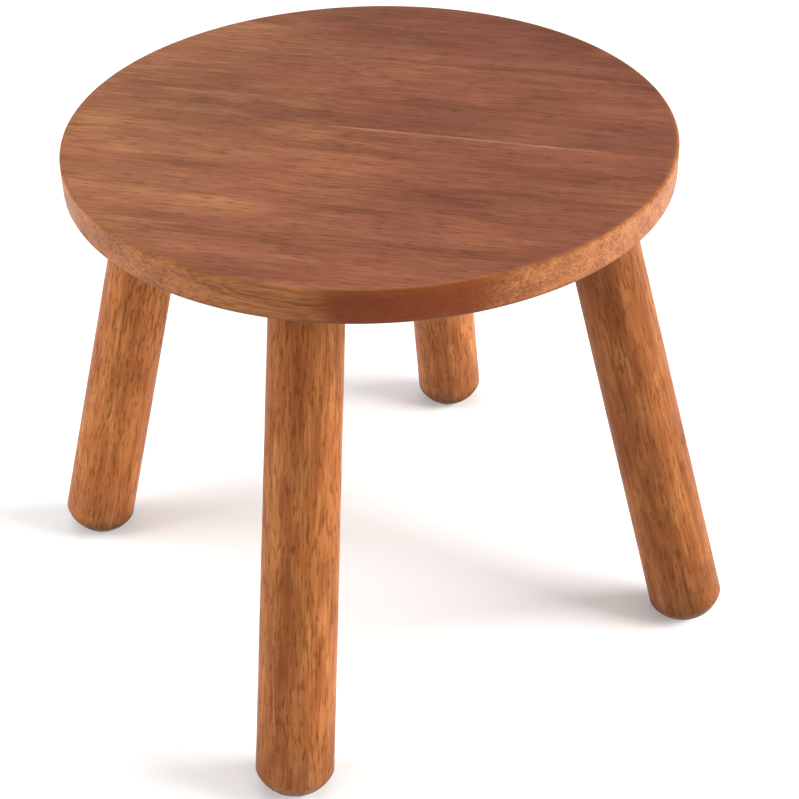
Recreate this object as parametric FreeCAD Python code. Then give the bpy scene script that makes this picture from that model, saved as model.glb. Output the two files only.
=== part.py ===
"""Low round stool: an edge-glued wooden seat on four splayed, round-ended legs.

Row frame in millimetres: +Z up, origin on the floor under the middle of the seat, one leg in
each quadrant. Each leg stands square in a slanted blind socket under the seat. A hanger bolt
on the leg's own line draws it up into an insert nut above the socket. A felt pad lies under
each levelled foot.
"""

import FreeCAD, Part

import math
import os

# Seat
seat_diameter = 300.0
seat_thickness = 17.5
seat_edge_round = 2.0
stave_widths = [72.0, 76.0, 78.0, 74.0]      # front to back across the glued panel
stave_direction = -45.0                     # degrees from +X, the way the grain runs

# Stance
stool_height = 280.0                        # floor to seat top, pads included
leg_circle_at_seat = 217.4                  # diameter through the leg lines at the underside
leg_circle_at_foot = 352.0                  # diameter through the middles of the leg ends
foot_end_height = 1.8                       # height of the middle of a leg end, before levelling
leg_places = {"front_left": 225.0, "front_right": 315.0, "back_right": 45.0, "back_left": 135.0}

# Leg
leg_foot_diameter = 40.0                    # widest, just above the domed foot
leg_seat_diameter = 34.8                    # where it enters the seat
foot_dome_height = 15.0                     # from the leg's end up to its straight side
foot_dome_bulge = 2.6                       # how far the dome swells beyond a plain chamfer
foot_end_diameter = 14.0                    # flat left at the leg's end
leg_top_chamfer = 1.0

# Socket under the seat, square to the leg
socket_depth = 5.2                          # along the leg line, from the underside
socket_clearance = 0.15                     # between the leg and the socket wall

# Felt pad
pad_diameter = 14.0
pad_thickness = 2.0
pad_edge_round = 0.5

# Insert nut, driven into the seat above the socket
insert_length = 10.0
insert_outer_diameter = 12.0
insert_flange_diameter = 16.0
insert_flange_thickness = 1.5
insert_lead = 1.0                           # taper at its far end
insert_key_width = 9.2                      # across flats of the hexagon for the driving key
insert_key_depth = 4.0

# Hanger bolt, half machine thread and half wood screw
bolt_diameter = 8.0
bolt_length = 50.0
bolt_end_gap = 0.6                          # from the bolt's tip to the end of the insert's bore
bolt_machine_end_chamfer = 1.0
bolt_waist_diameter = 6.8
bolt_waist_length = 3.0
bolt_wood_length = 26.0
bolt_point_length = 9.0
bolt_point_diameter = 1.6
thread_clearance = 0.1
pilot_overrun = 1.0                         # how far the leg's hole runs past the bolt's point

# Worked out from the sizes above
seat_radius = seat_diameter / 2
underside = stool_height - seat_thickness
radius_at_seat = leg_circle_at_seat / 2
radius_at_foot = leg_circle_at_foot / 2
splay = math.atan2(radius_at_foot - radius_at_seat, underside - foot_end_height)
visible_leg_length = (underside - foot_end_height) / math.cos(splay)
leg_length = visible_leg_length + socket_depth
insert_floor = leg_length + insert_flange_thickness
insert_end = leg_length + insert_length
bolt_tip = insert_end - bolt_end_gap
bolt_point = bolt_tip - bolt_length

ORIGIN = FreeCAD.Vector(0, 0, 0)
UP = FreeCAD.Vector(0, 0, 1)


def line(start, end):
    """A straight edge between two (radius, height) points of a profile."""
    return Part.LineSegment(FreeCAD.Vector(start[0], 0, start[1]),
                            FreeCAD.Vector(end[0], 0, end[1])).toShape()


def quarter_arc(centre, radius, first, last):
    """An arc in the profile plane, from first to last degrees about centre."""
    points = []
    for degrees in (first, (first + last) / 2, last):
        angle = math.radians(degrees)
        points.append(FreeCAD.Vector(centre[0] + radius * math.cos(angle), 0,
                                     centre[1] + radius * math.sin(angle)))
    return Part.Arc(*points).toShape()


def bulged_arc(start, end, bulge):
    """An arc between two profile points that swells by bulge to the right of their chord."""
    run, rise = end[0] - start[0], end[1] - start[1]
    chord = math.hypot(run, rise)
    middle = FreeCAD.Vector((start[0] + end[0]) / 2 + bulge * rise / chord, 0,
                            (start[1] + end[1]) / 2 - bulge * run / chord)
    return Part.Arc(FreeCAD.Vector(start[0], 0, start[1]), middle,
                    FreeCAD.Vector(end[0], 0, end[1])).toShape()


def turned(edges):
    """The solid swept by a closed profile of edges, turned about the Z axis."""
    wire = Part.Wire(Part.__sortEdges__(edges))
    return Part.makeSolid(Part.Face(wire).revolve(ORIGIN, UP, 360))


def turned_outline(points):
    """A turned solid from (radius, height) points; the profile closes along the axis."""
    closed = points + [points[0]]
    return turned([line(a, b) for a, b in zip(closed, closed[1:])])


def on_leg_line(shape, place):
    """Moves a shape from the leg's own frame, foot end at 0 and +Z up the leg, to its quadrant."""
    placed = shape.copy()
    placed.rotate(ORIGIN, FreeCAD.Vector(0, 1, 0), -math.degrees(splay))
    placed.translate(FreeCAD.Vector(radius_at_foot, 0, foot_end_height))
    placed.rotate(ORIGIN, UP, leg_places[place])
    return placed


def leg_radius(along):
    """Radius of the tapered leg at a distance along it from the foot end."""
    share = (along - foot_dome_height) / (visible_leg_length - foot_dome_height)
    return (leg_foot_diameter + (leg_seat_diameter - leg_foot_diameter) * share) / 2


def seat_panel():
    """The whole round seat with both rims eased, before it is parted into staves."""
    r, e, t = seat_radius, seat_edge_round, seat_thickness
    panel = turned([
        line((0, 0), (r - e, 0)),
        quarter_arc((r - e, e), e, -90, 0),
        line((r, e), (r, t - e)),
        quarter_arc((r - e, t - e), e, 0, 90),
        line((r - e, t), (0, t)),
        line((0, t), (0, 0)),
    ])
    panel.translate(FreeCAD.Vector(0, 0, underside))
    return panel


def socket_cutter():
    """What is bored from the underside: the leg's socket, then the hole for the insert nut."""
    wall = leg_radius(visible_leg_length - leg_seat_diameter) + socket_clearance
    bore_start = leg_length - leg_seat_diameter
    flange = insert_flange_diameter / 2
    barrel = insert_outer_diameter / 2
    return turned_outline([
        (0, bore_start), (wall, bore_start), (wall, leg_length), (flange, leg_length),
        (flange, insert_floor), (barrel, insert_floor),
        (barrel, insert_end - insert_lead), (barrel - insert_lead, insert_end), (0, insert_end),
    ])


def seat_staves():
    """The panel's boards, each bored where a socket crosses it."""
    panel = seat_panel()
    for place in leg_places:
        panel = panel.cut(on_leg_line(socket_cutter(), place))
    staves = []
    reach = 2 * seat_diameter
    low = -sum(stave_widths) / 2
    for number, width in enumerate(stave_widths):
        first, last = number == 0, number == len(stave_widths) - 1
        start = low - (seat_radius if first else 0)
        depth = width + (seat_radius if first or last else 0)
        board = Part.makeBox(reach, depth, stool_height,
                             FreeCAD.Vector(-reach / 2, start, 0))
        board.rotate(ORIGIN, UP, stave_direction)
        staves.append(panel.common(board))
        low += width
    return staves


def leg_blank():
    """A leg in its own frame: domed foot, straight taper, square top and the bolt's hole."""
    foot = leg_foot_diameter / 2
    flat = foot_end_diameter / 2
    top = leg_radius(leg_length)
    below_chamfer = leg_radius(leg_length - leg_top_chamfer)
    leg = turned([
        line((0, 0), (flat, 0)),
        bulged_arc((flat, 0), (foot, foot_dome_height), foot_dome_bulge),
        line((foot, foot_dome_height), (below_chamfer, leg_length - leg_top_chamfer)),
        line((below_chamfer, leg_length - leg_top_chamfer), (top - leg_top_chamfer, leg_length)),
        line((top - leg_top_chamfer, leg_length), (0, leg_length)),
        line((0, leg_length), (0, 0)),
    ])
    return leg.cut(bolt_hole())


def bolt_hole():
    """The stepped pilot hole in the leg, on its axis, with a drill-point end."""
    wall = bolt_diameter / 2 + thread_clearance
    tip = bolt_point_diameter / 2 + thread_clearance
    end = bolt_point - pilot_overrun
    return turned_outline([
        (0, end), (tip, end), (wall, bolt_point + bolt_point_length),
        (wall, leg_length + leg_top_chamfer), (0, leg_length + leg_top_chamfer),
    ])


def leg(place):
    """One leg on its line, with its foot levelled to take the pad."""
    whole = on_leg_line(leg_blank(), place)
    below = Part.makeBox(stool_height * 2, stool_height * 2, stool_height,
                         FreeCAD.Vector(-stool_height, -stool_height, pad_thickness - stool_height))
    return whole.cut(below)


def levelled_face(leg_solid):
    """The flat under a leg's foot, which the pad is stuck to: no other face ends as low."""
    return min(leg_solid.Faces, key=lambda face: face.BoundBox.ZMax)


def felt_pad(leg_solid):
    """A round pad with a softened lower rim, under the middle of the foot's levelled flat."""
    r, e = pad_diameter / 2, pad_edge_round
    pad = turned([
        line((0, 0), (r - e, 0)),
        quarter_arc((r - e, e), e, -90, 0),
        line((r, e), (r, pad_thickness)),
        line((r, pad_thickness), (0, pad_thickness)),
        line((0, pad_thickness), (0, 0)),
    ])
    centre = levelled_face(leg_solid).CenterOfMass
    pad.translate(FreeCAD.Vector(centre.x, centre.y, 0))
    return pad


def insert_nut(place):
    """A flanged insert nut with a through bore and a hexagon for the driving key."""
    bore = bolt_diameter / 2
    flange = insert_flange_diameter / 2
    barrel = insert_outer_diameter / 2
    nut = turned_outline([
        (bore, leg_length), (flange, leg_length), (flange, insert_floor), (barrel, insert_floor),
        (barrel, insert_end - insert_lead), (barrel - insert_lead, insert_end), (bore, insert_end),
    ])
    corner = insert_key_width / math.sqrt(3)
    corners = [FreeCAD.Vector(corner * math.cos(math.radians(60 * n)),
                              corner * math.sin(math.radians(60 * n)), leg_length)
               for n in range(7)]
    key = Part.Face(Part.makePolygon(corners)).extrude(UP * insert_key_depth)
    return on_leg_line(nut.cut(key), place)


def hanger_bolt(place):
    """Machine thread up in the insert, a waist, then the wood screw with its point down."""
    r = bolt_diameter / 2 - thread_clearance
    waist = bolt_waist_diameter / 2
    wood = bolt_diameter / 2
    point = bolt_point_diameter / 2
    waist_low = bolt_point + bolt_wood_length
    waist_high = waist_low + bolt_waist_length
    chamfer = bolt_machine_end_chamfer
    bolt = turned_outline([
        (0, bolt_point), (point, bolt_point), (wood, bolt_point + bolt_point_length),
        (wood, waist_low), (waist, waist_low), (waist, waist_high), (r, waist_high),
        (r, bolt_tip - chamfer), (r - chamfer, bolt_tip), (0, bolt_tip),
    ])
    return on_leg_line(bolt, place)


def write(name, shape):
    """Writes one sub-part, and stops if it isn't one sound solid."""
    if not shape.isValid() or len(shape.Solids) != 1:
        raise RuntimeError(name + " is not one valid solid")
    shape.Solids[0].exportStep("parts/" + name + ".step")


def main():
    os.makedirs("parts", exist_ok=True)
    for number, stave in enumerate(seat_staves(), start=1):
        write("seat_stave_" + str(number), stave)
    for place in leg_places:
        leg_solid = leg(place)
        write("leg_" + place, leg_solid)
        write("felt_pad_" + place, felt_pad(leg_solid))
        write("insert_nut_" + place, insert_nut(place))
        write("hanger_bolt_" + place, hanger_bolt(place))
        flat = levelled_face(leg_solid)
        print(place, "leans", round(math.degrees(splay), 2), "degrees, pad at",
              round(flat.CenterOfMass.x, 4), round(flat.CenterOfMass.y, 4))


main()
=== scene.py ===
"""Looks of the low round stool: turned legs and an edge-glued seat in satin-finished hardwood.

Everything is in metres, in the row frame: +Z up, origin on the floor under the seat's middle.
"""

import math

import bpy
from mathutils import Euler, Matrix, Vector


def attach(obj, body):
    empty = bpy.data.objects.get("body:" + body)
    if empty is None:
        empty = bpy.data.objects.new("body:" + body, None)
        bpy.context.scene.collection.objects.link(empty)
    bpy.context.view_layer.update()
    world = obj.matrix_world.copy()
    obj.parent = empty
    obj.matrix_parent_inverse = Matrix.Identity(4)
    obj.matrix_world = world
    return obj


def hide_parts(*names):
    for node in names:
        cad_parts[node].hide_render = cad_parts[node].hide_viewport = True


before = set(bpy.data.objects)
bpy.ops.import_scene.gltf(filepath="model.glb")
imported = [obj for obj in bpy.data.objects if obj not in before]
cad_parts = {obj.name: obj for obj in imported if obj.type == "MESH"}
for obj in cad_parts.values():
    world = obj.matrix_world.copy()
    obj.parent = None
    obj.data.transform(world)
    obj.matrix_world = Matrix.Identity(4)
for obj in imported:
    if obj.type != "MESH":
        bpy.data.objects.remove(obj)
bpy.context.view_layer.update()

MM = 0.001

# Seat
SEAT_RADIUS = 150.0 * MM
SEAT_THICKNESS = 17.5 * MM
STOOL_HEIGHT = 280.0 * MM
UNDERSIDE = STOOL_HEIGHT - SEAT_THICKNESS
RIM_ROUND = 2.0 * MM
RIM_SIDES = 240
ROUND_STEPS = 6
GRAIN_HEADING = math.radians(-45.0)
ALONG_GRAIN = (math.cos(GRAIN_HEADING), math.sin(GRAIN_HEADING), 0.0)
ACROSS_GRAIN = (-math.sin(GRAIN_HEADING), math.cos(GRAIN_HEADING), 0.0)
STAVE_WIDTHS = [72.0 * MM, 76.0 * MM, 78.0 * MM, 74.0 * MM]
STAVE_TONES = [0.15, 0.38, 0.62, 0.70]
STAVE_GRAIN_SHIFTS = [(0.40, 0.013, 0.004), (1.30, -0.018, 0.016),
                      (2.10, 0.021, -0.011), (3.20, 0.006, 0.022)]
KNOT_PLACE = (36.5 * MM, 13.9 * MM, STOOL_HEIGHT)
# The way the rim's front faces, where it is darkened: darker wood there, with painted shade over it.
RIM_DARK_AND_SHADE_FACING = (-0.41, -0.91, 0.0)

# Stance of the legs
LEG_BEARINGS = {"front_left": 225.0, "front_right": 315.0, "back_right": 45.0, "back_left": 135.0}
LEG_RADIUS_AT_SEAT = 108.7 * MM
LEG_RADIUS_AT_FOOT = 176.0 * MM
FOOT_END_HEIGHT = 1.8 * MM
LEAN = math.atan2(LEG_RADIUS_AT_FOOT - LEG_RADIUS_AT_SEAT, UNDERSIDE - FOOT_END_HEIGHT)
SHOWN_LENGTH = (UNDERSIDE - FOOT_END_HEIGHT) / math.cos(LEAN)

# Leg
FOOT_RADIUS = 19.6 * MM
TOP_RADIUS = 17.4 * MM
FOOT_DOME_HEIGHT = 11.5 * MM
FOOT_DOME_BULGE = 1.8 * MM
FOOT_END_RADIUS = 7.5 * MM
SOCKET_DEPTH = 5.2 * MM
SOCKET_GAP = 0.15 * MM
TOP_CHAMFER = 1.0 * MM
PAD_THICKNESS = 2.0 * MM
LEG_SIDES = 96
FOOT_STEPS = 12
SHAFT_RINGS = 24
TURNING_MARK = 0.05 * MM
TURNING_BEAT = 2.3
LEG_LENGTH = SHOWN_LENGTH + SOCKET_DEPTH
BORE_RADIUS = 4.1 * MM
BORE_DEPTH = 41.6 * MM
BORE_SIDES = 32
BORE_CUTTER_TOP = LEG_LENGTH * 1.1
LEG_TURNS = {"front_left": 20.0, "front_right": 130.0, "back_right": 250.0, "back_left": 310.0}
# Per-leg tone, 0 lightest; back_left's 0 is painted light, a lighter copy that makes up for light its shaded
# side lacks, while the others differ at random.
LEG_TONES_AND_PAINTED_LIGHT = {"front_left": 0.45, "front_right": 0.70, "back_right": 0.15, "back_left": 0.0}
LEG_GRAIN_SHIFTS = {"front_left": 0.0, "front_right": 1.7, "back_right": 2.9, "back_left": 4.1}
LEG_GRAIN_OFFSET = 6.0 * MM

# Least angle, in degrees, of an edge that stays sharp
WOOD_CORNER = 32.0
METAL_CORNER = 40.0

# Insert nut, above the socket
NUT_LENGTH = 10.0 * MM
NUT_RADIUS = 6.0 * MM
NUT_FLANGE_RADIUS = 8.0 * MM
NUT_FLANGE_THICKNESS = 1.5 * MM
NUT_LEAD = 1.0 * MM
NUT_BORE_RADIUS = 4.0 * MM
NUT_BORE_COUNTERSINK = 0.5 * MM
NUT_KEY_WIDTH = 9.2 * MM
NUT_KEY_DEPTH = 4.0 * MM
NUT_PITCH = 2.5 * MM
NUT_THREAD_DEPTH = 0.9 * MM

# Hanger bolt, its length running from the insert down into the leg
BOLT_LENGTH = 50.0 * MM
BOLT_END_GAP = 0.6 * MM
BOLT_MACHINE_RADIUS = 3.9 * MM
BOLT_MACHINE_PITCH = 1.25 * MM
BOLT_MACHINE_DEPTH = 0.65 * MM
BOLT_CHAMFER = 1.0 * MM
BOLT_WAIST_RADIUS = 3.4 * MM
BOLT_WAIST_LENGTH = 3.0 * MM
BOLT_WOOD_RADIUS = 4.0 * MM
BOLT_WOOD_LENGTH = 26.0 * MM
BOLT_WOOD_PITCH = 3.0 * MM
BOLT_WOOD_DEPTH = 1.0 * MM
BOLT_POINT_LENGTH = 9.0 * MM
BOLT_POINT_RADIUS = 0.8 * MM
THREAD_SIDES = 40
RINGS_PER_TURN = 8

# Floor and sky
FLOOR_SIZE = 12.0
WHITE_FROM = 0.6
WHITE_AT = 1.6
SKY_LIGHT = 0.25

# Soft lights: name, degrees round from the camera, height, distance, size, power, colour, mirrored
SOFTBOXES = [("key", 80.0, 0.80, 1.7, 1.2, 70.0, (1.0, 0.985, 0.96), False),
             ("fill", -82.0, 0.75, 1.7, 1.2, 34.0, (1.0, 1.0, 1.0), False),
             ("top", 0.0, 2.4, 0.1, 1.6, 20.0, (1.0, 1.0, 1.0), True)]
LIGHT_AIM = Vector((0.0, 0.0, 0.15))

# Camera and picture
PICTURE_WIDTH = 799
FOCAL_PIXELS = 1779.5
SENSOR_WIDTH = 36.0
CAMERA_PLACE = Vector((-0.3836, -0.6836, 0.6747))
CAMERA_PITCH = math.radians(54.57)
CAMERA_HEADING = math.radians(-29.96)
CAMERA_ROLL = math.radians(-1.40)
CAMERA_SHIFT_X = 0.0063


# Small helpers

def only(obj):
    """Makes obj the one selected and active object."""
    bpy.ops.object.select_all(action="DESELECT")
    obj.select_set(True)
    bpy.context.view_layer.objects.active = obj


def ring_stack(name, profile, sides):
    """A closed turned solid: a filled circle, extruded and resized ring by ring up its profile."""
    bpy.ops.object.select_all(action="DESELECT")
    radius, height = profile[0]
    bpy.ops.mesh.primitive_circle_add(vertices=sides, radius=radius, fill_type="NGON",
                                      location=(0, 0, height))
    piece = bpy.context.active_object
    piece.name = name
    piece.data.name = name
    bpy.ops.object.transform_apply(location=True)
    bpy.ops.object.mode_set(mode="EDIT")
    bpy.ops.mesh.select_all(action="SELECT")
    for next_radius, next_height in profile[1:]:
        rise = next_height - height
        growth = next_radius / radius
        bpy.ops.mesh.extrude_region_move(TRANSFORM_OT_translate={"value": (0, 0, rise)})
        bpy.ops.transform.resize(value=(growth, growth, 1.0))
        radius, height = next_radius, next_height
    bpy.ops.mesh.select_all(action="SELECT")
    bpy.ops.mesh.normals_make_consistent(inside=False)
    bpy.ops.object.mode_set(mode="OBJECT")
    return piece


def cut_away(piece, cutter):
    """Takes the cutter's volume out of the piece, and removes the cutter."""
    only(piece)
    boolean = piece.modifiers.new("cut", "BOOLEAN")
    boolean.operation = "DIFFERENCE"
    boolean.solver = "EXACT"
    boolean.object = cutter
    bpy.ops.object.modifier_apply(modifier="cut")
    bpy.data.objects.remove(cutter)


def keep_side(piece, point, outward):
    """Cuts the piece on a plane and closes it, dropping what lies on the outward side."""
    only(piece)
    bpy.ops.object.mode_set(mode="EDIT")
    bpy.ops.mesh.select_all(action="SELECT")
    bpy.ops.mesh.bisect(plane_co=point, plane_no=outward, use_fill=True, clear_outer=True)
    bpy.ops.object.mode_set(mode="OBJECT")


def smooth(piece, sharp_degrees):
    """Smooth shading that keeps the real corners sharp."""
    only(piece)
    bpy.ops.object.mode_set(mode="EDIT")
    bpy.ops.mesh.select_all(action="SELECT")
    bpy.ops.mesh.faces_shade_smooth()
    bpy.ops.mesh.select_all(action="DESELECT")
    bpy.ops.mesh.edges_select_sharp(sharpness=math.radians(sharp_degrees))
    bpy.ops.mesh.mark_sharp()
    bpy.ops.object.mode_set(mode="OBJECT")
    weighted = piece.modifiers.new("flat_faces_lead", "WEIGHTED_NORMAL")
    weighted.keep_sharp = True
    bpy.ops.object.modifier_apply(modifier="flat_faces_lead")


def copy_of(piece, name):
    """A copy with a mesh of its own."""
    twin = piece.copy()
    twin.data = piece.data.copy()
    twin.name = name
    twin.data.name = name
    bpy.context.scene.collection.objects.link(twin)
    return twin


def store_grain(piece, to_grain, tone):
    """Keeps each point's place in its own timber, X along the grain, and the piece's tone."""
    vertices = piece.data.vertices
    places = []
    for vertex in vertices:
        places.extend(to_grain @ vertex.co)
    piece.data.attributes.new("grain", "FLOAT_VECTOR", "POINT")
    piece.data.attributes["grain"].data.foreach_set("vector", places)
    piece.data.attributes.new("tone", "FLOAT", "POINT")
    piece.data.attributes["tone"].data.foreach_set("value", [tone] * len(vertices))


def seat_on_frame(piece, nodes, material):
    """Gives a finished piece its material and its body, and hides the CAD nodes it stands in for."""
    piece.data.materials.clear()
    piece.data.materials.append(material)
    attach(piece, "root")
    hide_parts(*nodes)


# Node helpers

class Nodes:
    """A node tree being wired: nodes are added left to right, inputs take a value or a socket."""

    def __init__(self, tree):
        self.tree = tree
        self.count = 0

    def add(self, kind, inputs=None, **settings):
        node = self.tree.nodes.new(kind)
        node.location = (180 * (self.count % 12), -260 * (self.count // 12))
        self.count += 1
        for key, value in settings.items():
            setattr(node, key, value)
        for key, value in (inputs or {}).items():
            self.put(node, key, value)
        return node

    def put(self, node, key, value):
        socket = node.inputs[key]
        if isinstance(value, bpy.types.NodeSocket):
            self.tree.links.new(value, socket)
        else:
            socket.default_value = value

    def math(self, operation, a, b=0.0, c=0.0, clamp=False):
        node = self.add("ShaderNodeMath", {0: a, 1: b, 2: c}, operation=operation, use_clamp=clamp)
        return node.outputs[0]

    def weighted(self, shares):
        """The sum of several values, each times its own weight."""
        total = None
        for value, weight in shares:
            term = self.math("MULTIPLY", value, weight)
            total = term if total is None else self.math("ADD", total, term)
        return total

    def dot(self, one, other):
        node = self.add("ShaderNodeVectorMath", {0: one, 1: other}, operation="DOT_PRODUCT")
        return node.outputs["Value"]

    def scaled(self, vector, scale, offset=(0.0, 0.0, 0.0)):
        node = self.add("ShaderNodeVectorMath", {0: vector, 1: scale, 2: offset},
                        operation="MULTIPLY_ADD")
        return node.outputs[0]

    def noise(self, vector, scale, detail=2.0, roughness=0.5, distortion=0.0):
        node = self.add("ShaderNodeTexNoise", {"Vector": vector, "Scale": scale, "Detail": detail,
                                               "Roughness": roughness, "Distortion": distortion})
        return node.outputs["Fac"]

    def wobble(self, vector, scale, detail, roughness, amount):
        """Noise that swings to both sides of 0 by up to half the amount."""
        swing = self.math("SUBTRACT", self.noise(vector, scale, detail, roughness), 0.5)
        return self.math("MULTIPLY", swing, amount)

    def span(self, value, low, high, to_low=0.0, to_high=1.0):
        """A smooth step from low to high; the ends come out as to_low and to_high."""
        node = self.add("ShaderNodeMapRange", {"Value": value, "From Min": low, "From Max": high,
                                               "To Min": to_low, "To Max": to_high},
                        interpolation_type="SMOOTHSTEP")
        return node.outputs["Result"]

    def mix(self, fac, a, b, blend="MIX"):
        node = self.add("ShaderNodeMix", data_type="RGBA", blend_type=blend)
        self.put(node, 0, fac)
        self.put(node, 6, a)
        self.put(node, 7, b)
        return node.outputs[2]

    def ramp(self, value, stops):
        node = self.add("ShaderNodeValToRGB", {"Fac": value})
        elements = node.color_ramp.elements
        while len(elements) < len(stops):
            elements.new(0.5)
        for element, (place, colour) in zip(elements, stops):
            element.position = place
            element.color = colour
        return node.outputs["Color"]

    def group(self, tree, inputs):
        node = self.add("ShaderNodeGroup", node_tree=tree)
        for key, value in inputs.items():
            self.put(node, key, value)
        return node.outputs


def new_group(name, inputs, outputs):
    """An empty node group with named inputs and outputs."""
    tree = bpy.data.node_groups.new(name, "ShaderNodeTree")
    for socket_name, kind, value in inputs:
        socket = tree.interface.new_socket(socket_name, in_out="INPUT", socket_type=kind)
        if value is not None:
            socket.default_value = value
    for socket_name, kind in outputs:
        tree.interface.new_socket(socket_name, in_out="OUTPUT", socket_type=kind)
    nodes = Nodes(tree)
    start = nodes.add("NodeGroupInput")
    end = nodes.add("NodeGroupOutput")
    return tree, nodes, start.outputs, end


FLOAT = "NodeSocketFloat"
VECTOR = "NodeSocketVector"


def timber_group():
    """Figure, bands, fibre streaks, pores and blotches of solid wood, read along the grain."""
    tree, n, given, end = new_group(
        "timber",
        [("Grain", VECTOR, None), ("Ring Spacing", FLOAT, 0.012), ("Ring Wander", FLOAT, 0.35),
         ("Band Width", FLOAT, 0.009), ("Fibre Width", FLOAT, 0.0012),
         ("Pore Length", FLOAT, 0.003), ("Pore Width", FLOAT, 0.0004),
         ("Pore Share", FLOAT, 0.3), ("Blotch Size", FLOAT, 0.03), ("Cloud Size", FLOAT, 0.06)],
        [("Figure", FLOAT), ("Bands", FLOAT), ("Fibre", FLOAT), ("Pores", FLOAT), ("Blotch", FLOAT),
         ("Cloud", FLOAT)])
    grain = given["Grain"]

    slow = n.scaled(grain, (0.12, 1.0, 1.0))
    wander = n.noise(slow, 22.0, 2.0, 0.55)
    parts = n.add("ShaderNodeSeparateXYZ", {"Vector": slow}).outputs
    depth = n.math("ADD", parts["Z"], 0.055)
    distance = n.math("SQRT", n.math("ADD", n.math("MULTIPLY", parts["Y"], parts["Y"]),
                                     n.math("MULTIPLY", depth, depth)))
    turns = n.math("DIVIDE", distance, given["Ring Spacing"])
    drift = n.math("MULTIPLY", n.math("MULTIPLY", wander, given["Ring Wander"]), 12.0)
    ring = n.math("FRACT", n.math("ADD", turns, drift))
    early = n.span(ring, 0.0, 0.75)
    late = n.span(ring, 0.82, 1.0, 1.0, 0.0)
    n.put(end, "Figure", n.math("MULTIPLY", early, late))

    band_scale = n.math("DIVIDE", 1.0, given["Band Width"])
    band = n.noise(n.scaled(grain, (0.14, 1.0, 1.0)), band_scale, 3.0, 0.55, 0.6)
    n.put(end, "Bands", n.span(band, 0.25, 0.75))

    fibre_scale = n.math("DIVIDE", 1.0, given["Fibre Width"])
    fibre = n.noise(n.scaled(grain, (0.06, 1.0, 1.0)), fibre_scale, 3.0, 0.65)
    n.put(end, "Fibre", n.span(fibre, 0.3, 0.7))

    ratio = n.math("DIVIDE", given["Pore Width"], given["Pore Length"])
    squeeze = n.add("ShaderNodeCombineXYZ", {"X": ratio, "Y": 1.0, "Z": 1.0}).outputs[0]
    pore_place = n.add("ShaderNodeVectorMath", {0: grain, 1: squeeze}, operation="MULTIPLY").outputs[0]
    pore_scale = n.math("DIVIDE", 0.5, given["Pore Width"])
    pore = n.noise(pore_place, pore_scale, 1.0, 0.4)
    crowd = n.wobble(grain, 60.0, 1.0, 0.5, 0.25)
    level = n.math("SUBTRACT", 0.74, n.math("MULTIPLY", given["Pore Share"], 0.3))
    level = n.math("SUBTRACT", level, crowd)
    n.put(end, "Pores", n.span(pore, level, n.math("ADD", level, 0.09)))

    blotch_scale = n.math("DIVIDE", 1.0, given["Blotch Size"])
    blotch = n.noise(n.scaled(grain, (0.45, 1.0, 1.0), (0.31, 0.17, 0.05)), blotch_scale, 3.0, 0.6, 0.3)
    n.put(end, "Blotch", n.span(blotch, 0.3, 0.7))

    cloud_scale = n.math("DIVIDE", 1.0, given["Cloud Size"])
    cloud = n.noise(n.scaled(grain, (0.55, 1.0, 1.0), (0.63, 0.29, 0.11)), cloud_scale, 2.0, 0.5, 0.2)
    n.put(end, "Cloud", n.span(cloud, 0.3, 0.7))
    return tree


def satin_group():
    """How a rubbed lacquer reads: its roughness and its surface height over the timber."""
    tree, n, given, end = new_group(
        "satin_lacquer",
        [("Grain", VECTOR, None), ("Fibre", FLOAT, 0.5), ("Pores", FLOAT, 0.0),
         ("Roughness", FLOAT, 0.42), ("Unevenness", FLOAT, 0.08)],
        [("Roughness", FLOAT), ("Height", FLOAT)])
    lift = n.wobble(given["Grain"], 38.0, 3.0, 0.6, given["Unevenness"])
    lift = n.math("ADD", lift, n.math("MULTIPLY", given["Pores"], 0.16))
    n.put(end, "Roughness", n.math("ADD", given["Roughness"], lift, clamp=True))
    ripple = n.math("MULTIPLY", given["Fibre"], 0.25)
    dip = n.math("MULTIPLY", given["Pores"], -0.9)
    n.put(end, "Height", n.math("ADD", ripple, dip))
    return tree


def arris_group():
    """Where the seat's two arrises are eased and rubbed, where painted shade lies along the lower one, and
    where its rim is.
    """
    tree, n, given, end = new_group(
        "seat_arris",
        [("Place", VECTOR, None), ("Width", FLOAT, 0.004)],
        [("Arris", FLOAT), ("Lower Arris Shade", FLOAT), ("Rim", FLOAT)])
    parts = n.add("ShaderNodeSeparateXYZ", {"Vector": given["Place"]}).outputs
    flat = n.scaled(given["Place"], (1.0, 1.0, 0.0))
    radius = n.add("ShaderNodeVectorMath", {0: flat}, operation="LENGTH").outputs["Value"]
    from_rim = n.math("SUBTRACT", SEAT_RADIUS, radius)
    below_top = n.math("SUBTRACT", STOOL_HEIGHT, parts["Z"])
    above_under = n.math("SUBTRACT", parts["Z"], UNDERSIDE)
    to_face = n.math("MINIMUM", below_top, above_under)
    corner = n.math("ADD", from_rim, to_face)
    ragged = n.noise(given["Place"], 90.0, 2.0, 0.6)
    width = n.math("MULTIPLY", given["Width"], n.math("ADD", ragged, 0.5))
    n.put(end, "Arris", n.math("SUBTRACT", 1.0, n.span(corner, 0.0005, width), clamp=True))
    lower = n.math("ADD", above_under, n.math("MULTIPLY", ragged, 0.001))
    on_rim = n.math("SUBTRACT", 1.0, n.span(from_rim, 0.0003, 0.0018), clamp=True)
    n.put(end, "Lower Arris Shade", n.math("MULTIPLY", n.span(lower, 0.0012, 0.0032, 1.0, 0.0), on_rim))
    n.put(end, "Rim", on_rim)
    return tree


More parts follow.
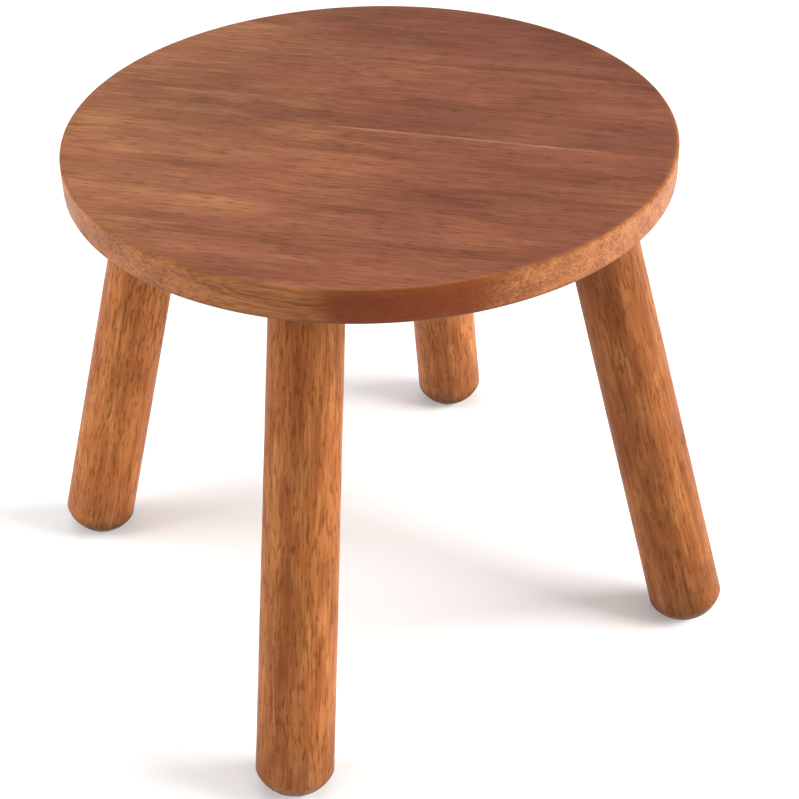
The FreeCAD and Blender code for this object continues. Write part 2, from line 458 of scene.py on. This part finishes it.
def patch_group():
    """A soft-edged patch of the rim that faces a given way: 1 at its middle, 0 outside it."""
    tree, n, given, end = new_group(
        "rim_patch",
        [("Place", VECTOR, None), ("Facing", VECTOR, None), ("Outer", FLOAT, 0.95), ("Inner", FLOAT, 0.99)],
        [("Patch", FLOAT)])
    flat = n.scaled(given["Place"], (1.0, 1.0, 0.0))
    heading = n.add("ShaderNodeVectorMath", {0: flat}, operation="NORMALIZE").outputs[0]
    facing = n.dot(heading, given["Facing"])
    reach = n.math("ADD", facing, n.wobble(given["Place"], 55.0, 2.0, 0.5, 0.03))
    n.put(end, "Patch", n.span(reach, given["Outer"], given["Inner"]))
    return tree


def joint_group():
    """One glue line between boards: how near it is, and how plainly it shows along its length."""
    tree, n, given, end = new_group(
        "glue_line",
        [("Place", VECTOR, None), ("Across", FLOAT, 0.0), ("Width", FLOAT, 0.0006),
         ("Shown From", FLOAT, -0.15), ("Shown To", FLOAT, 0.15)],
        [("Line", FLOAT)])
    along = n.dot(given["Place"], ALONG_GRAIN)
    across = n.dot(given["Place"], ACROSS_GRAIN)
    waver = n.wobble(given["Place"], 30.0, 1.0, 0.5, 0.0004)
    off = n.math("ABSOLUTE", n.math("ADD", n.math("SUBTRACT", across, given["Across"]), waver))
    near = n.math("SUBTRACT", 1.0, n.span(off, n.math("MULTIPLY", given["Width"], 0.3), given["Width"]))
    opening = n.span(along, given["Shown From"], n.math("ADD", given["Shown From"], 0.03))
    closing = n.span(along, n.math("SUBTRACT", given["Shown To"], 0.04), given["Shown To"], 1.0, 0.0)
    uneven = n.span(n.noise(given["Place"], 70.0, 2.0, 0.5), 0.25, 0.6, 0.45, 1.0)
    shown = n.math("MULTIPLY", n.math("MULTIPLY", opening, closing), uneven)
    n.put(end, "Line", n.math("MULTIPLY", near, shown))
    return tree


def knot_group():
    """A small dark mark in the grain, drawn out along it, with a ragged outline."""
    tree, n, given, end = new_group(
        "pin_knot",
        [("Place", VECTOR, None), ("Centre", VECTOR, None), ("Length", FLOAT, 0.01), ("Width", FLOAT, 0.005)],
        [("Knot", FLOAT)])
    off = n.add("ShaderNodeVectorMath", {0: given["Place"], 1: given["Centre"]}, operation="SUBTRACT")
    along = n.math("DIVIDE", n.dot(off.outputs[0], ALONG_GRAIN), given["Length"])
    across = n.math("DIVIDE", n.dot(off.outputs[0], ACROSS_GRAIN), given["Width"])
    distance = n.math("SQRT", n.math("ADD", n.math("MULTIPLY", along, along),
                                     n.math("MULTIPLY", across, across)))
    ragged = n.wobble(given["Place"], 160.0, 3.0, 0.6, 0.9)
    n.put(end, "Knot", n.span(n.math("ADD", distance, ragged), 0.25, 1.1, 1.0, 0.0))
    return tree


def foot_shade_group():
    """Painted shade on a foot: how much darker it reads towards the floor, 1 at the floor, 0 up the leg."""
    tree, n, given, end = new_group(
        "foot_painted_shade",
        [("Place", VECTOR, None), ("End Height", FLOAT, 0.012), ("Fade Height", FLOAT, 0.045)],
        [("Painted Shade", FLOAT)])
    height = n.add("ShaderNodeSeparateXYZ", {"Vector": given["Place"]}).outputs["Z"]
    level = n.math("ADD", height, n.wobble(given["Place"], 220.0, 2.0, 0.6, 0.006))
    dome = n.span(level, n.math("MULTIPLY", given["End Height"], 0.2), given["End Height"], 0.75, 0.0)
    fade = n.span(level, given["End Height"], given["Fade Height"], 0.25, 0.0)
    n.put(end, "Painted Shade", n.math("ADD", dome, fade))
    return tree


TIMBER = timber_group()
SATIN = satin_group()
ARRIS = arris_group()
PATCH = patch_group()
GLUE = joint_group()
KNOT = knot_group()
FOOT_SHADE = foot_shade_group()


def new_material(name):
    """A node material with a bare Principled surface: the material, its nodes and its shader."""
    material = bpy.data.materials.new(name)
    material.use_nodes = True
    material.node_tree.nodes.clear()
    nodes = Nodes(material.node_tree)
    shader = nodes.add("ShaderNodeBsdfPrincipled")
    output = nodes.add("ShaderNodeOutputMaterial")
    material.node_tree.links.new(shader.outputs["BSDF"], output.inputs["Surface"])
    return material, nodes, shader


def wood_inputs(n):
    """The piece's own grain coordinates and tone."""
    grain = n.add("ShaderNodeAttribute", attribute_name="grain").outputs["Vector"]
    tone = n.add("ShaderNodeAttribute", attribute_name="tone").outputs["Fac"]
    return grain, tone


def lacquer(n, shader, grain, timber, roughness, unevenness, relief):
    """Wires the rubbed lacquer's roughness and its relief over the timber into the surface."""
    satin = n.group(SATIN, {"Grain": grain, "Fibre": timber["Fibre"], "Pores": timber["Pores"],
                            "Roughness": roughness, "Unevenness": unevenness})
    n.put(shader, "Roughness", satin["Roughness"])
    bump = n.add("ShaderNodeBump", {"Height": satin["Height"], "Strength": relief, "Distance": 0.0002})
    n.put(shader, "Normal", bump.outputs["Normal"])


def seat_material():
    """Reddish brown boards: mottled brown and mauve, short open pores, pale glue line, one paler end; darker
    wood at the rim's front with painted shade over it, and painted shade along the lower arris.
    """
    material, n, shader = new_material("seat_wood")
    grain, tone = wood_inputs(n)
    place = n.add("ShaderNodeTexCoord").outputs["Object"]
    timber = n.group(TIMBER, {"Grain": grain, "Ring Spacing": 0.013, "Ring Wander": 0.30,
                              "Band Width": 0.008, "Fibre Width": 0.0012,
                              "Pore Length": 0.0045, "Pore Width": 0.0005,
                              "Pore Share": 0.55, "Blotch Size": 0.022, "Cloud Size": 0.055})
    mixed = n.weighted([(timber["Bands"], 0.40), (timber["Fibre"], 0.40), (timber["Figure"], 0.20)])
    body = n.ramp(mixed, [(0.15, (0.130, 0.042, 0.0215, 1)), (0.5, (0.196, 0.067, 0.0340, 1)),
                          (0.85, (0.265, 0.100, 0.0520, 1))])
    mauve = n.mix(n.math("MULTIPLY", timber["Blotch"], 0.55), body, (0.215, 0.066, 0.041, 1))
    shade = n.mix(tone, (1.18, 1.20, 1.14, 1), (0.80, 0.79, 0.83, 1))
    board = n.mix(1.0, mauve, shade, "MULTIPLY")
    clouded = n.mix(timber["Cloud"], (0.87, 0.86, 0.87, 1), (1.15, 1.15, 1.12, 1))
    board = n.mix(1.0, board, clouded, "MULTIPLY")
    pored = n.mix(n.math("MULTIPLY", timber["Pores"], 0.42), board, (0.085, 0.024, 0.011, 1))
    reach = n.math("ADD", n.dot(place, ALONG_GRAIN), n.math("MULTIPLY", timber["Blotch"], 0.05))
    paler = n.span(reach, -0.12, 0.06, 1.0, 0.0)
    pored = n.mix(paler, pored, (1.38, 1.62, 1.45, 1), "MULTIPLY")
    knot = n.group(KNOT, {"Place": place, "Centre": KNOT_PLACE, "Length": 0.011, "Width": 0.005})
    knotted = n.mix(n.math("MULTIPLY", knot["Knot"], 0.55), pored, (0.115, 0.030, 0.012, 1))
    pale = n.group(GLUE, {"Place": place, "Across": -0.0018, "Width": 0.0013,
                          "Shown From": -0.030, "Shown To": 0.125})["Line"]
    starved = n.group(GLUE, {"Place": place, "Across": -0.0006, "Width": 0.0008,
                             "Shown From": -0.070, "Shown To": 0.040})["Line"]
    glued = n.mix(n.math("MULTIPLY", starved, 0.45), knotted, (0.100, 0.030, 0.014, 1))
    glued = n.mix(n.math("MULTIPLY", pale, 0.62), glued, (0.44, 0.225, 0.13, 1))
    edge = n.group(ARRIS, {"Place": place, "Width": 0.004})
    rim_streaks = n.weighted([(timber["Fibre"], 0.55), (timber["Bands"], 0.45)])
    rim_timber = n.ramp(rim_streaks, [(0.2, (0.165, 0.048, 0.0110, 1)), (0.8, (0.340, 0.126, 0.0370, 1))])
    rim = n.mix(n.math("MULTIPLY", edge["Rim"], 0.85), glued, rim_timber)
    # Painted shade and darker wood: dark marks the rim's front, which neither side light reaches squarely; it
    # is darkened towards (0.140, 0.024, 0.002).
    dark = n.group(PATCH, {"Place": place, "Facing": RIM_DARK_AND_SHADE_FACING, "Outer": 0.945, "Inner": 0.985})
    dark = n.math("MULTIPLY", n.math("MULTIPLY", dark["Patch"], edge["Rim"]), 0.90)
    rim_darkened_and_shaded = n.mix(dark, rim, (0.140, 0.024, 0.002, 1))
    worn = n.mix(n.math("MULTIPLY", edge["Arris"], 0.18), rim_darkened_and_shaded, (0.30, 0.115, 0.045, 1))
    # Painted shade: the lower arris, which faces down, is darkened towards (0.060, 0.020, 0.008).
    with_lower_arris_shade = n.mix(n.math("MULTIPLY", edge["Lower Arris Shade"], 0.60), worn, (0.060, 0.020, 0.008, 1))
    n.put(shader, "Base Color", with_lower_arris_shade)
    lacquer(n, shader, grain, timber, 0.42, 0.16, 0.35)
    n.put(shader, "Coat Weight", n.math("MULTIPLY", n.math("SUBTRACT", 1.0, edge["Rim"]), 0.15))
    shader.inputs["Specular IOR Level"].default_value = 0.15
    shader.inputs["Coat Roughness"].default_value = 0.30
    return material


def leg_material():
    """Yellowish brown turned wood, mottled, with short dark dashes of open pores along the leg, and painted
    shade darkening each foot towards the floor.
    """
    material, n, shader = new_material("leg_wood")
    grain, tone = wood_inputs(n)
    timber = n.group(TIMBER, {"Grain": grain, "Ring Spacing": 0.006, "Ring Wander": 0.25,
                              "Band Width": 0.006, "Fibre Width": 0.0013,
                              "Pore Length": 0.0036, "Pore Width": 0.00055,
                              "Pore Share": 0.60, "Blotch Size": 0.014, "Cloud Size": 0.030})
    mixed = n.weighted([(timber["Bands"], 0.45), (timber["Fibre"], 0.40), (timber["Figure"], 0.15)])
    body = n.ramp(mixed, [(0.15, (0.165, 0.047, 0.0100, 1)), (0.5, (0.268, 0.090, 0.0240, 1)),
                          (0.85, (0.375, 0.148, 0.0480, 1))])
    red = n.mix(n.math("MULTIPLY", timber["Blotch"], 0.60), body, (0.230, 0.064, 0.0170, 1))
    clouded = n.mix(timber["Cloud"], (0.88, 0.86, 0.84, 1), (1.13, 1.15, 1.15, 1))
    red = n.mix(1.0, red, clouded, "MULTIPLY")
    shade = n.mix(tone, (1.28, 1.32, 1.30, 1), (0.72, 0.71, 0.70, 1))
    toned = n.mix(1.0, red, shade, "MULTIPLY")
    pored = n.mix(n.math("MULTIPLY", timber["Pores"], 0.50), toned, (0.090, 0.026, 0.006, 1))
    place = n.add("ShaderNodeTexCoord").outputs["Object"]
    painted_foot_shade = n.group(FOOT_SHADE, {"Place": place, "End Height": 0.020, "Fade Height": 0.050})["Painted Shade"]
    # Painted shade: each foot darkens towards the floor, towards (0.055, 0.022, 0.010).
    with_foot_shade = n.mix(n.math("MULTIPLY", painted_foot_shade, 0.90), pored, (0.055, 0.022, 0.010, 1))
    n.put(shader, "Base Color", with_foot_shade)
    lacquer(n, shader, grain, timber, 0.44, 0.12, 0.30)
    shader.inputs["Specular IOR Level"].default_value = 0.10
    return material


def felt_material():
    """Dark brown pressed felt, matted and flecked."""
    material, n, shader = new_material("felt")
    place = n.add("ShaderNodeTexCoord").outputs["Object"]
    mat = n.noise(place, 900.0, 4.0, 0.7)
    n.put(shader, "Base Color", n.ramp(mat, [(0.3, (0.035, 0.024, 0.018, 1)),
                                             (0.7, (0.14, 0.10, 0.075, 1))]))
    n.put(shader, "Roughness", n.span(mat, 0.2, 0.8, 0.85, 1.0))
    bump = n.add("ShaderNodeBump", {"Height": mat, "Strength": 0.6, "Distance": 0.0004})
    n.put(shader, "Normal", bump.outputs["Normal"])
    shader.inputs["Sheen Weight"].default_value = 0.4
    return material


def plated_material(name, light, dark):
    """Zinc-plated steel with faint turning marks and a patchy bloom."""
    material, n, shader = new_material(name)
    place = n.add("ShaderNodeTexCoord").outputs["Object"]
    bloom = n.noise(place, 260.0, 4.0, 0.65)
    n.put(shader, "Base Color", n.mix(n.span(bloom, 0.35, 0.7), light, dark))
    n.put(shader, "Roughness", n.span(bloom, 0.2, 0.8, 0.28, 0.46))
    bump = n.add("ShaderNodeBump", {"Height": n.noise(place, 2400.0, 2.0, 0.5), "Strength": 0.2,
                                    "Distance": 0.0001})
    n.put(shader, "Normal", bump.outputs["Normal"])
    shader.inputs["Metallic"].default_value = 1.0
    return material


# Seat

def round_profile():
    """(radius, height) points of the seat's edge, from the underside to the top."""
    profile = []
    for first_angle, centre_height in ((-90.0, UNDERSIDE + RIM_ROUND), (0.0, STOOL_HEIGHT - RIM_ROUND)):
        for step in range(ROUND_STEPS + 1):
            angle = math.radians(first_angle + 90.0 * step / ROUND_STEPS)
            profile.append((SEAT_RADIUS - RIM_ROUND + RIM_ROUND * math.cos(angle),
                            centre_height + RIM_ROUND * math.sin(angle)))
    return profile


def leg_placement(bearing):
    """From the leg's own frame, foot end at 0 and +Z up the leg, to its place on the stool."""
    turn = Matrix.Rotation(math.radians(bearing), 4, "Z")
    shift = Matrix.Translation((LEG_RADIUS_AT_FOOT, 0.0, FOOT_END_HEIGHT))
    tilt = Matrix.Rotation(-LEAN, 4, "Y")
    return turn @ shift @ tilt


def shaft_radius(along):
    """Radius of the straight taper at a distance along the leg from its foot end."""
    share = (along - FOOT_DOME_HEIGHT) / (SHOWN_LENGTH - FOOT_DOME_HEIGHT)
    return FOOT_RADIUS + (TOP_RADIUS - FOOT_RADIUS) * share


def seat_disc():
    """The whole panel with its four slanted, stepped sockets for the legs and their nuts."""
    disc = ring_stack("seat_disc", round_profile(), RIM_SIDES)
    bottom = LEG_LENGTH - 2 * TOP_RADIUS
    wall = shaft_radius(LEG_LENGTH - TOP_RADIUS) + SOCKET_GAP
    flange_end = LEG_LENGTH + NUT_FLANGE_THICKNESS
    nut_end = LEG_LENGTH + NUT_LENGTH
    steps = [(wall, bottom), (wall, LEG_LENGTH), (NUT_FLANGE_RADIUS, LEG_LENGTH),
             (NUT_FLANGE_RADIUS, flange_end), (NUT_RADIUS, flange_end),
             (NUT_RADIUS, nut_end - NUT_LEAD), (NUT_RADIUS - NUT_LEAD, nut_end)]
    for place, bearing in LEG_BEARINGS.items():
        cutter = ring_stack("socket_cutter", steps, LEG_SIDES)
        cutter.data.transform(leg_placement(bearing))
        cut_away(disc, cutter)
    return disc


def seat_staves(material):
    """The panel parted on its glue lines, each board with its own run of grain."""
    disc = seat_disc()
    across = Vector(ACROSS_GRAIN)
    to_board = Matrix.Rotation(-GRAIN_HEADING, 4, "Z")
    low = -sum(STAVE_WIDTHS) / 2
    for number, width in enumerate(STAVE_WIDTHS):
        stave = copy_of(disc, "seat_board_" + str(number + 1))
        if number > 0:
            keep_side(stave, across * low, -across)
        if number < len(STAVE_WIDTHS) - 1:
            keep_side(stave, across * (low + width), across)
        smooth(stave, WOOD_CORNER)
        shift = Matrix.Translation(STAVE_GRAIN_SHIFTS[number])
        store_grain(stave, shift @ to_board, STAVE_TONES[number])
        seat_on_frame(stave, ["seat_stave_" + str(number + 1)], material)
        low += width
    bpy.data.objects.remove(disc)


# Legs

def foot_dome():
    """(radius, height) points of the foot: an arc that swells a little beyond a plain chamfer."""
    run = FOOT_RADIUS - FOOT_END_RADIUS
    chord = math.hypot(run, FOOT_DOME_HEIGHT)
    radius = (chord ** 2 / 4 + FOOT_DOME_BULGE ** 2) / (2 * FOOT_DOME_BULGE)
    slope = math.atan2(FOOT_DOME_HEIGHT, run)
    half_sweep = math.asin(chord / 2 / radius)
    back = radius - FOOT_DOME_BULGE
    centre_radius = FOOT_END_RADIUS + run / 2 - back * math.sin(slope)
    centre_height = FOOT_DOME_HEIGHT / 2 + back * math.cos(slope)
    profile = []
    for step in range(FOOT_STEPS + 1):
        angle = slope - math.radians(90.0) + half_sweep * (2 * step / FOOT_STEPS - 1)
        profile.append((centre_radius + radius * math.cos(angle), centre_height + radius * math.sin(angle)))
    return profile


def leg_profile():
    """(radius, height) points of a turned leg, foot end first, with faint turning marks."""
    profile = foot_dome()
    top = LEG_LENGTH - TOP_CHAMFER
    for ring in range(1, SHAFT_RINGS + 1):
        along = FOOT_DOME_HEIGHT + (top - FOOT_DOME_HEIGHT) * ring / SHAFT_RINGS
        mark = TURNING_MARK * math.sin(TURNING_BEAT * ring) * math.sin(math.pi * ring / SHAFT_RINGS)
        profile.append((shaft_radius(along) - abs(mark), along))
    profile.append((shaft_radius(LEG_LENGTH) - TOP_CHAMFER, LEG_LENGTH))
    return profile


def legs(material):
    """Four turned legs from one blank, each turned its own way round and levelled at the foot."""
    blank = ring_stack("leg_blank", leg_profile(), LEG_SIDES)
    bore_profile = [(BORE_RADIUS, LEG_LENGTH - BORE_DEPTH), (BORE_RADIUS, BORE_CUTTER_TOP)]
    cut_away(blank, ring_stack("bore_cutter", bore_profile, BORE_SIDES))
    along_x = Matrix.Rotation(math.radians(90.0), 4, "Y")
    for place, bearing in LEG_BEARINGS.items():
        leg = copy_of(blank, "turned_leg_" + place)
        placement = leg_placement(bearing)
        leg.data.transform(placement)
        keep_side(leg, (0.0, 0.0, PAD_THICKNESS), (0.0, 0.0, -1.0))
        smooth(leg, WOOD_CORNER)
        own_turn = Matrix.Rotation(math.radians(LEG_TURNS[place]), 4, "X")
        shift = Matrix.Translation((LEG_GRAIN_SHIFTS[place], LEG_GRAIN_OFFSET, 0.0))
        store_grain(leg, shift @ own_turn @ along_x @ placement.inverted(), LEG_TONES_AND_PAINTED_LIGHT[place])
        seat_on_frame(leg, ["leg_" + place], material)
    bpy.data.objects.remove(blank)


# Fittings

def screw_profile(start, end, radius_at, pitch):
    """Closely spaced (radius, height) points up a threaded length."""
    rings = max(2, round((end - start) / pitch * RINGS_PER_TURN))
    profile = []
    for ring in range(rings + 1):
        height = start + (end - start) * ring / rings
        profile.append((radius_at(height), height))
    return profile


def cut_thread(piece, start, end, pitch, depth, outer_than=0.0):
    """Sinks a helical groove into the points of a turned piece between two heights."""
    for vertex in piece.data.vertices:
        x, y, z = vertex.co
        radius = math.hypot(x, y)
        if not start <= z <= end or radius <= outer_than:
            continue
        phase = (z / pitch - math.atan2(y, x) / math.tau) % 1.0
        crest = abs(2.0 * phase - 1.0)
        run_out = min(1.0, (z - start) / pitch, (end - z) / pitch)
        shrink = 1.0 - depth * (1.0 - crest) * run_out / radius
        vertex.co = (x * shrink, y * shrink, z)


def hanger_bolt():
    """The bolt in the leg's frame: wood screw with its point down, waist, machine thread on top."""
    tip = LEG_LENGTH + NUT_LENGTH - BOLT_END_GAP
    point = tip - BOLT_LENGTH
    taper_end = point + BOLT_POINT_LENGTH
    wood_end = point + BOLT_WOOD_LENGTH
    waist_end = wood_end + BOLT_WAIST_LENGTH
    machine_end = tip - BOLT_CHAMFER

    def wood_radius(height):
        share = min(1.0, (height - point) / BOLT_POINT_LENGTH)
        return BOLT_POINT_RADIUS + (BOLT_WOOD_RADIUS - BOLT_POINT_RADIUS) * share

    profile = screw_profile(point, taper_end, wood_radius, BOLT_WOOD_PITCH)
    profile += screw_profile(taper_end, wood_end, wood_radius, BOLT_WOOD_PITCH)[1:]
    profile += [(BOLT_WAIST_RADIUS, wood_end), (BOLT_WAIST_RADIUS, waist_end)]
    profile += screw_profile(waist_end, machine_end, lambda height: BOLT_MACHINE_RADIUS, BOLT_MACHINE_PITCH)
    profile.append((BOLT_MACHINE_RADIUS - BOLT_CHAMFER, tip))
    bolt = ring_stack("threaded_bolt", profile, THREAD_SIDES)
    sunk = BOLT_WOOD_DEPTH
    cut_thread(bolt, point + sunk, wood_end, BOLT_WOOD_PITCH, sunk, BOLT_POINT_RADIUS + sunk)
    cut_thread(bolt, waist_end, machine_end, BOLT_MACHINE_PITCH, BOLT_MACHINE_DEPTH, BOLT_WAIST_RADIUS)
    return bolt


def insert_nut():
    """The nut in the leg's frame: flange down, coarse outer thread, key hexagon and through bore."""
    flange_end = LEG_LENGTH + NUT_FLANGE_THICKNESS
    nut_end = LEG_LENGTH + NUT_LENGTH
    profile = [(NUT_FLANGE_RADIUS, LEG_LENGTH), (NUT_FLANGE_RADIUS, flange_end)]
    profile += screw_profile(flange_end, nut_end - NUT_LEAD, lambda height: NUT_RADIUS, NUT_PITCH)
    profile.append((NUT_RADIUS - NUT_LEAD, nut_end))
    nut = ring_stack("threaded_nut", profile, THREAD_SIDES)
    cut_thread(nut, flange_end + NUT_LEAD / 2, nut_end, NUT_PITCH, NUT_THREAD_DEPTH)
    cutter_foot = LEG_LENGTH - NUT_LEAD
    bore_profile = [(NUT_BORE_RADIUS, cutter_foot),
                    (NUT_BORE_RADIUS, nut_end - NUT_BORE_COUNTERSINK),
                    (NUT_BORE_RADIUS + 2 * NUT_BORE_COUNTERSINK, nut_end + NUT_BORE_COUNTERSINK)]
    cut_away(nut, ring_stack("bore_cutter", bore_profile, THREAD_SIDES))
    corner = NUT_KEY_WIDTH / math.sqrt(3)
    key_profile = [(corner, cutter_foot), (corner, LEG_LENGTH + NUT_KEY_DEPTH)]
    cut_away(nut, ring_stack("key_cutter", key_profile, 6))
    return nut


def fittings():
    """Threaded bolts and nuts in place of the plain ones; the pads keep their shape."""
    zinc = plated_material("insert_steel", (0.66, 0.61, 0.48, 1), (0.52, 0.50, 0.44, 1))
    bright = plated_material("bolt_steel", (0.62, 0.63, 0.65, 1), (0.45, 0.46, 0.49, 1))
    for blank, node, slot, material in ((hanger_bolt(), "hanger_bolt_", "bolt_steel", bright),
                                        (insert_nut(), "insert_nut_", "insert_steel", zinc)):
        for place, bearing in LEG_BEARINGS.items():
            piece = copy_of(blank, blank.name + "_" + place)
            piece.data.transform(leg_placement(bearing))
            smooth(piece, METAL_CORNER)
            seat_on_frame(piece, [node + place], material)
        bpy.data.objects.remove(blank)
    felt = felt_material()
    for name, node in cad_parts.items():
        if name.startswith("felt_pad"):
            node.data.materials.clear()
            node.data.materials.append(felt)


# Floor, light and camera

def stage():
    """A plain pale floor under a soft, even sky, both running out to white for the camera."""
    bpy.ops.object.select_all(action="DESELECT")
    bpy.ops.mesh.primitive_plane_add(size=FLOOR_SIZE, location=(0, 0, 0))
    floor = bpy.context.active_object
    floor.name = "floor"
    material, n, shader = new_material("floor_paper")
    shader.inputs["Base Color"].default_value = (0.94, 0.94, 0.94, 1)
    shader.inputs["Roughness"].default_value = 0.95
    shader.inputs["Specular IOR Level"].default_value = 0.1
    shader.inputs["Emission Color"].default_value = (1.0, 1.0, 1.0, 1)
    place = n.add("ShaderNodeTexCoord").outputs["Object"]
    distance = n.add("ShaderNodeVectorMath", {0: place}, operation="LENGTH").outputs["Value"]
    seen = n.add("ShaderNodeLightPath").outputs["Is Camera Ray"]
    n.put(shader, "Emission Strength", n.math("MULTIPLY", seen, n.span(distance, WHITE_FROM, WHITE_AT)))
    floor.data.materials.append(material)

    world = bpy.data.worlds.new("studio")
    world.use_nodes = True
    sky = Nodes(world.node_tree)
    background = world.node_tree.nodes["Background"]
    seen = sky.add("ShaderNodeLightPath").outputs["Is Camera Ray"]
    sky.put(background, "Color", (1.0, 1.0, 1.0, 1))
    sky.put(background, "Strength", sky.math("MULTIPLY_ADD", seen, 1.0 - SKY_LIGHT, SKY_LIGHT))
    bpy.context.scene.world = world


def softbox(name, heading, height, distance, size, power, colour, mirrored):
    """A square soft light aimed at the stool from a heading given from the camera's side.

    A light that isn't mirrored lays no glare on the lacquer when the top is seen edge on.
    """
    data = bpy.data.lights.new(name, "AREA")
    data.shape = "SQUARE"
    data.size = size
    data.energy = power
    data.color = colour
    light = bpy.data.objects.new(name, data)
    bpy.context.scene.collection.objects.link(light)
    light.visible_glossy = mirrored
    bearing = CAMERA_HEADING + math.radians(heading)
    place = Vector((math.sin(bearing) * distance, -math.cos(bearing) * distance, height))
    light.location = place
    light.rotation_euler = (LIGHT_AIM - place).to_track_quat("-Z", "Y").to_euler()


def camera():
    """The camera of the photograph."""
    data = bpy.data.cameras.new("camera")
    data.sensor_width = SENSOR_WIDTH
    data.lens = FOCAL_PIXELS / PICTURE_WIDTH * SENSOR_WIDTH
    data.shift_x = CAMERA_SHIFT_X
    data.clip_start = 0.01
    obj = bpy.data.objects.new("camera", data)
    bpy.context.scene.collection.objects.link(obj)
    aim = Euler((CAMERA_PITCH, 0.0, CAMERA_HEADING)).to_matrix().to_4x4()
    roll = Matrix.Rotation(CAMERA_ROLL, 4, "Z")
    obj.matrix_world = Matrix.Translation(CAMERA_PLACE) @ aim @ roll
    bpy.context.scene.camera = obj


seat_staves(seat_material())
legs(leg_material())
fittings()
stage()
for light_settings in SOFTBOXES:
    softbox(*light_settings)
camera()
bpy.context.scene.view_settings.view_transform = "Standard"
